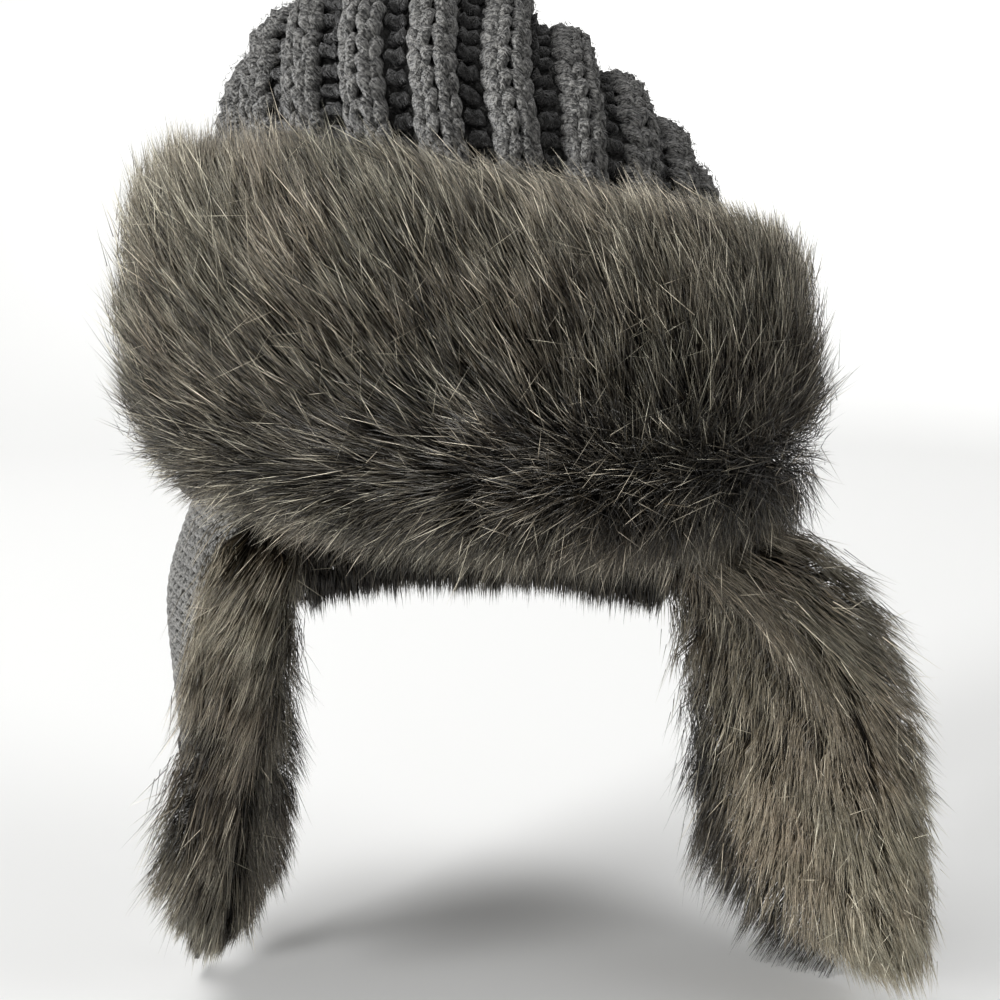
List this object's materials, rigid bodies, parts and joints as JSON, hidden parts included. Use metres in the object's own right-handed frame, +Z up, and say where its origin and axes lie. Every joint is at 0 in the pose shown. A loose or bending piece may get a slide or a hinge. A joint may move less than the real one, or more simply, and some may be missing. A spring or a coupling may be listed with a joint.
{
  "type": "knit trapper hat",
  "caption": "Chunky rib-knit winter hat with a turned-up fur front flap, hanging fur-lined ear flaps and a short neck flap, open below for a head.",
  "frame": {"origin": "the centre of the head opening, level with the crown's rim", "axes": "+Z up through the crown, -Y forward over the brow, +X to the right as seen from the front"},
  "size_m": [0.3099, 0.2444, 0.3972],
  "materials": {
    "heather_knit": "matt heather-grey wool-blend rib knit",
    "plain_knit": "matt light heather-grey knit with small holes",
    "faux_fur": "deep taupe-grey faux fur with pale tips",
    "webbing": "black woven webbing"
  },
  "bodies": {
    "root": {"crown": "heather_knit", "front_flap": "plain_knit", "front_fur": "faux_fur", "ear_flap_left": "plain_knit", "ear_flap_right": "plain_knit", "ear_fur_left": "faux_fur", "ear_fur_right": "faux_fur", "tab_left": "webbing", "tab_right": "webbing", "neck_flap": "plain_knit", "neck_fur": "faux_fur"}
  },
  "joints": []
}
